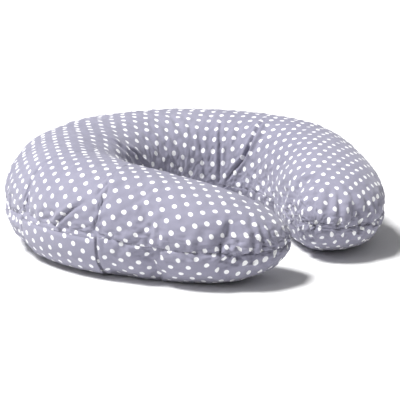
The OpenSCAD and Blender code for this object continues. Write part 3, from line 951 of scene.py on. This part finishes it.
def calico():
    """Plain undyed cotton of the inner case."""
    n = Nodes("calico")
    place = n.place()
    fleck = n.noise(place, 420.0, 2.0)
    thread = n.noise(n.vector("MULTIPLY", place, (900.0, 140.0, 900.0)), 1.0, 2.0)
    colour = n.blend(n.ramp(fleck, 0.55, 0.75), (0.80, 0.77, 0.70, 1), (0.66, 0.60, 0.50, 1))
    colour = n.blend(n.ramp(thread, 0.3, 0.7, 0.0, 0.4), colour, (0.86, 0.84, 0.79, 1))
    n.look("Base Color", colour)
    n.look("Roughness", 0.9)
    n.look("Sheen Weight", 0.2)
    n.bump(n.math("ADD", thread, fleck), 0.00015)
    return n.material


def fibre():
    """Crimped polyester fibre."""
    n = Nodes("polyester_fibre")
    place = n.place()
    strands = n.noise(n.vector("MULTIPLY", place, (500.0, 120.0, 300.0)), 1.0, 5.0, 0.7)
    tufts = n.noise(place, 60.0, 4.0)
    n.look("Base Color", n.blend(n.ramp(strands, 0.3, 0.75), (0.78, 0.78, 0.78, 1), (0.95, 0.95, 0.95, 1)))
    n.look("Roughness", 0.95)
    n.look("Sheen Weight", 0.6)
    n.bump(n.math("ADD", strands, tufts), 0.0015)
    return n.material


def thread_material():
    """Twisted polyester thread, a shade paler than the ground."""
    n = Nodes("thread")
    place = n.place()
    twist = n.math("SINE", n.vector("DOT_PRODUCT", place, (9000.0, 7000.0, 8000.0)))
    shade = n.noise(place, 120.0, 2.0)
    n.look("Base Color", n.blend(n.ramp(shade, 0.3, 0.7), (0.50, 0.49, 0.58, 1), (0.64, 0.63, 0.72, 1)))
    n.look("Roughness", 0.5)
    n.look("Sheen Weight", 0.3)
    n.bump(twist, 0.00005)
    return n.material


def tape_material():
    """Herringbone polyester tape of the zip."""
    n = Nodes("zip_tape")
    place = n.place()
    parts = n.new("ShaderNodeSeparateXYZ", place)
    zed = n.math("PINGPONG", n.math("MULTIPLY", parts.outputs[2], 900.0), 1.0)
    slant = n.math("MULTIPLY", zed, 3.0)
    ribs = n.math("SINE", n.math("ADD", n.math("MULTIPLY", parts.outputs[1], 7000.0), slant))
    wear = n.noise(place, 260.0, 3.0)
    n.look("Base Color", n.blend(n.ramp(wear, 0.25, 0.75), (0.27, 0.26, 0.35, 1), (0.36, 0.35, 0.45, 1)))
    n.look("Roughness", 0.75)
    n.look("Sheen Weight", 0.2)
    n.bump(ribs, 0.0001)
    return n.material


def nylon():
    n = Nodes("coil_nylon")
    place = n.place()
    shade = n.noise(place, 500.0, 2.0)
    n.look("Base Color", n.blend(n.ramp(shade, 0.3, 0.7), (0.40, 0.39, 0.48, 1), (0.47, 0.46, 0.56, 1)))
    n.look("Roughness", n.ramp(shade, 0.2, 0.8, 0.28, 0.42))
    return n.material


def metal():
    """Nickel-plated zinc, brushed and a little rubbed."""
    n = Nodes("zip_metal")
    place = n.place()
    brushed = n.noise(n.vector("MULTIPLY", place, (400.0, 400.0, 6000.0)), 1.0, 3.0)
    rub = n.noise(place, 300.0, 4.0)
    n.look("Base Color", n.blend(n.ramp(rub, 0.35, 0.7), (0.62, 0.62, 0.64, 1), (0.74, 0.74, 0.75, 1)))
    n.look("Metallic", 1.0)
    n.look("Roughness", n.ramp(brushed, 0.3, 0.7, 0.22, 0.38))
    n.bump(brushed, 0.00003)
    return n.material


def satin():
    """Woven satin of the blank label."""
    n = Nodes("label_satin")
    place = n.place()
    weft = n.noise(n.vector("MULTIPLY", place, (200.0, 200.0, 5000.0)), 1.0, 2.0)
    n.look("Base Color", n.blend(n.ramp(weft, 0.3, 0.7), (0.84, 0.84, 0.85, 1), (0.93, 0.93, 0.94, 1)))
    n.look("Roughness", 0.35)
    n.bump(weft, 0.00006)
    return n.material


def finish_piece(obj, material, slot, *nodes, body="pillow"):
    obj.data.materials.clear()
    obj.data.materials.append(material)
    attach(obj, body)
    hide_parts(*nodes)
    return obj


COTTON, CALICO, FIBRE, THREAD = cotton(), calico(), fibre(), thread_material()
TAPE, NYLON, METAL, SATIN = tape_material(), nylon(), metal(), satin()


# ------------------------------------------------------------------ the pieces
def make_cover():
    top = panel("cover_top_panel", TOP_COLUMNS, 0.0, COVER_THICKNESS, cloth=TOP_CLOTH)
    finish_piece(top, COTTON, "cover_cotton", "cover_top")
    bottom = panel("cover_bottom_panel", BASE_COLUMNS, 0.0, COVER_THICKNESS, COVER_POCKET,
                   BASE_CLOTH, ~slit())
    finish_piece(bottom, COTTON, "cover_cotton", "cover_bottom")


def make_inner_case():
    top = panel("inner_case_top_panel", TOP_COLUMNS, CASE_DEPTH, CASE_THICKNESS, INNER_POCKET)
    finish_piece(top, CALICO, "case_cotton", "inner_case_top")
    bottom = panel("inner_case_base_panel", BASE_COLUMNS, CASE_DEPTH, CASE_THICKNESS, INNER_POCKET)
    finish_piece(bottom, CALICO, "case_cotton", "inner_case_bottom")


# Scale, height and seed of the tufts
TUFTS = [(30, 0.0014, 5.0), (90, 0.0006, 6.0)]


def make_fill():
    tufts = sum((np.abs(lumps(P0, *row)) for row in TUFTS), FILL_DEPTH)
    points = layer(tufts, INNER_POCKET)
    obj, _ = build("fibre_filling", points.reshape(-1, 3), closed_faces(NS, NV))
    finish_piece(obj, FIBRE, "fibre", "fibre_fill")


# The turned-in edge at the inner seam reaches round to this angle
INNER_TURNING = 188


def make_seam():
    """The thread in the seam, and the turned-in edges behind it."""
    inset = 4 * MM
    lines = [
        row_line(0, -RIGHT + inset, FLAP_S[0], 0.0),
        row_line(0, FLAP_S[1], LEFT - inset, 0.0),
        row_line(180, -RIGHT + inset, LEFT - inset, 0.0),
    ]
    finish_piece(stitches("seam_thread", lines), THREAD, "thread", "seam_stitch")
    outer = in_range(S, -RIGHT + inset, ZIP_S[0] - inset) | in_range(S, ZIP_S[1] + inset, LEFT - inset)
    kept = outer[:, None] & in_range(BASE_ROWS, 360 - SLIT_TOP, 360)[None, :]
    whole = in_range(S, -RIGHT + inset, LEFT - inset)
    kept |= whole[:, None] & in_range(BASE_ROWS, 180, INNER_TURNING)[None, :]
    turnings = panel("seam_turnings", BASE_COLUMNS, ALLOWANCE_DEPTH, ALLOWANCE_THICKNESS, COVER_POCKET,
                     BASE_CLOTH, kept)
    finish_piece(turnings, COTTON, "cover_cotton", "seam_allowance")


# The flap's hem is sewn this far up, in degrees
HINGE_BAND, HEM_STITCH = 0.012, 4.0


def make_flap():
    flap = zip_flap()
    flap.data.materials.append(COTTON)
    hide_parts("zip_flap")
    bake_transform(flap)
    row = 360 - FLAP_DROP + HEM_STITCH
    s, v, p, n = flap_grid(row, row + 1)
    lift = np.maximum(flap_relief(s, v), FLAP_GAP)[:, :1] + FLAP_THICKNESS * (1 + HEM_EXTRA)
    hem = (p[:, 0] + n[:, 0] * lift, n[:, 0])
    thread = stitches("flap_hem_thread", [hem], sink=0.0)
    finish_piece(thread, THREAD, "thread", "flap_hem_stitch", body="flap")


# The tapes are sewn on this far above and below the slit, in degrees
THREAD_ABOVE, THREAD_BELOW = 0.6, 2.3
WORN_EDGE = 0.00012


def make_zip():
    for name in ("zip_tape_upper", "zip_tape_lower"):
        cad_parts[name].data.materials.clear()
        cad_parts[name].data.materials.append(TAPE)
    for name in ("zip_top_stops", "zip_bottom_stop", "zip_slider", "zip_pull"):
        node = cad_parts[name]
        node.data.materials.clear()
        node.data.materials.append(METAL)
        bevel = node.modifiers.new("worn_edges", "BEVEL")
        bevel.width = WORN_EDGE
        bevel.segments = 2
        bevel.limit_method = "ANGLE"
    finish_piece(zip_coil("zip_coil_upper", 1), NYLON, "zip_nylon", "zip_teeth_upper")
    finish_piece(zip_coil("zip_coil_lower", -1), NYLON, "zip_nylon", "zip_teeth_lower")
    upper = row_line(360 - SLIT_TOP + THREAD_ABOVE, *ZIP_S, 0.0, COVER_POCKET)
    lower = row_line(360 - SLIT_BOTTOM - THREAD_BELOW, *ZIP_S, 0.0, COVER_POCKET)
    finish_piece(stitches("zip_thread_upper", [upper]), THREAD, "thread", "zip_stitch_upper")
    finish_piece(stitches("zip_thread_lower", [lower]), THREAD, "thread", "zip_stitch_lower")


LABEL_WIDTH, LABEL_DEPTH, LABEL_THICKNESS = 0.036, 0.0016, 0.0002


def make_label():
    low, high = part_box("care_label")
    middle = (low + high) / 2
    at = S[np.argmin(np.linalg.norm(skin(S, 350.0) - np.array(middle), axis=1))]
    wide = in_range(S, at - LABEL_WIDTH / 2, at + LABEL_WIDTH / 2)
    kept = wide[:, None] & in_range(BASE_ROWS, 360 - SLIT_BOTTOM, 359.5)[None, :]
    label = panel("blank_label", BASE_COLUMNS, LABEL_DEPTH, LABEL_THICKNESS, kept=kept)
    finish_piece(label, SATIN, "label_satin", "care_label")


# The slot that the fill went in by: its angle, half its length, and the stitches that close it
SLOT_V, SLOT_HALF, SLOT_STITCH = 3.5, 0.08, 0.004


def make_case_thread():
    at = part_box("inner_case_stitch")
    middle = (at[0] + at[1]) / 2
    s = S[np.argmin(np.linalg.norm(skin(S, SLOT_V) - np.array(middle), axis=1))]
    line = row_line(SLOT_V, s - SLOT_HALF, s + SLOT_HALF, -CASE_DEPTH + 0.0002)
    thread = stitches("inner_case_thread", [line], length=SLOT_STITCH)
    finish_piece(thread, THREAD, "thread", "inner_case_stitch")


make_cover()
make_inner_case()
make_fill()
make_seam()
make_flap()
make_zip()
make_label()
make_case_thread()


# ------------------------------------------------------------------ floor, light and camera
VIEW_TURN, VIEW_RISE, VIEW_DISTANCE = 38.62, 14.13, 2.677
AIM = Vector((0, SHIFT, 0.0714))
LENS, SHIFT_X, SHIFT_Y = 160.5, 0.0241, -0.0280


def plain(name, colour, roughness):
    n = Nodes(name)
    n.look("Base Color", colour)
    n.look("Roughness", roughness)
    n.look("Specular IOR Level", 0.1)
    return n.material


FLOOR_CORNERS = 9.0 * np.array([(-1, -1, 0), (1, -1, 0), (1, 1, 0), (-1, 1, 0)])
FLOOR_DROP, PAPER = 0.0003, (0.84, 0.84, 0.84, 1)


def floor():
    obj, _ = build("floor", FLOOR_CORNERS, np.array([[0, 1, 2, 3]]))
    obj.location.z = -FLOOR_DROP
    obj.data.materials.append(plain("floor_paper", PAPER, 0.9))


# The lights' places are given to the right, away from the camera and up
ROOM_LIGHT = 0.25
KEY_POWER, KEY_SPREAD, KEY_FROM = 4.9, 17.0, (-0.5, -0.08, 1)
FILL_POWER, FILL_SIZE, FILL_FROM, FILL_AIM = 5, 1.6, (-1.9, -1.5, 1.4), Vector((0, 0, 0.05))


def add_light(name, kind, power, place, turn):
    light = bpy.data.lights.new(name, kind)
    light.energy = power
    obj = add_object(name, light)
    obj.location = place
    obj.rotation_euler = turn.to_euler()
    return light


def studio():
    floor()
    a = math.radians(VIEW_TURN)
    right = Vector((math.cos(a), -math.sin(a), 0))
    away = Vector((math.sin(a), math.cos(a), 0))
    key_from, fill_at = (r * right + b * away + Vector((0, 0, up)) for r, b, up in (KEY_FROM, FILL_FROM))
    key = add_light("key", "SUN", KEY_POWER, (0, 0, 0), key_from.to_track_quat("Z", "Y"))
    key.angle = math.radians(KEY_SPREAD)
    fill = add_light("fill", "AREA", FILL_POWER, fill_at, (FILL_AIM - fill_at).to_track_quat("-Z", "Y"))
    fill.shape = "DISK"
    fill.size = FILL_SIZE
    world = bpy.data.worlds.new("studio")
    world.use_nodes = True
    background = world.node_tree.nodes["Background"]
    background.inputs["Color"].default_value = (1, 1, 1, 1)
    # The room lights the pillow dimly, and still looks white behind it
    rays = world.node_tree.nodes.new("ShaderNodeLightPath")
    strength = world.node_tree.nodes.new("ShaderNodeMapRange")
    strength.inputs["To Min"].default_value = ROOM_LIGHT
    strength.inputs["To Max"].default_value = 1.0
    world.node_tree.links.new(rays.outputs["Is Camera Ray"], strength.inputs["Value"])
    world.node_tree.links.new(strength.outputs["Result"], background.inputs["Strength"])
    bpy.context.scene.world = world
    bpy.context.scene.view_settings.view_transform = "Standard"


def camera():
    a, e = math.radians(VIEW_TURN), math.radians(VIEW_RISE)
    back = Vector((-math.sin(a) * math.cos(e), -math.cos(a) * math.cos(e), math.sin(e)))
    data = bpy.data.cameras.new("camera")
    data.lens = LENS
    data.sensor_width = 36
    data.shift_x, data.shift_y = SHIFT_X, SHIFT_Y
    obj = add_object("camera", data)
    obj.location = AIM + VIEW_DISTANCE * back
    obj.rotation_euler = (-back).to_track_quat("-Z", "Y").to_euler()
    bpy.context.scene.camera = obj


studio()
camera()
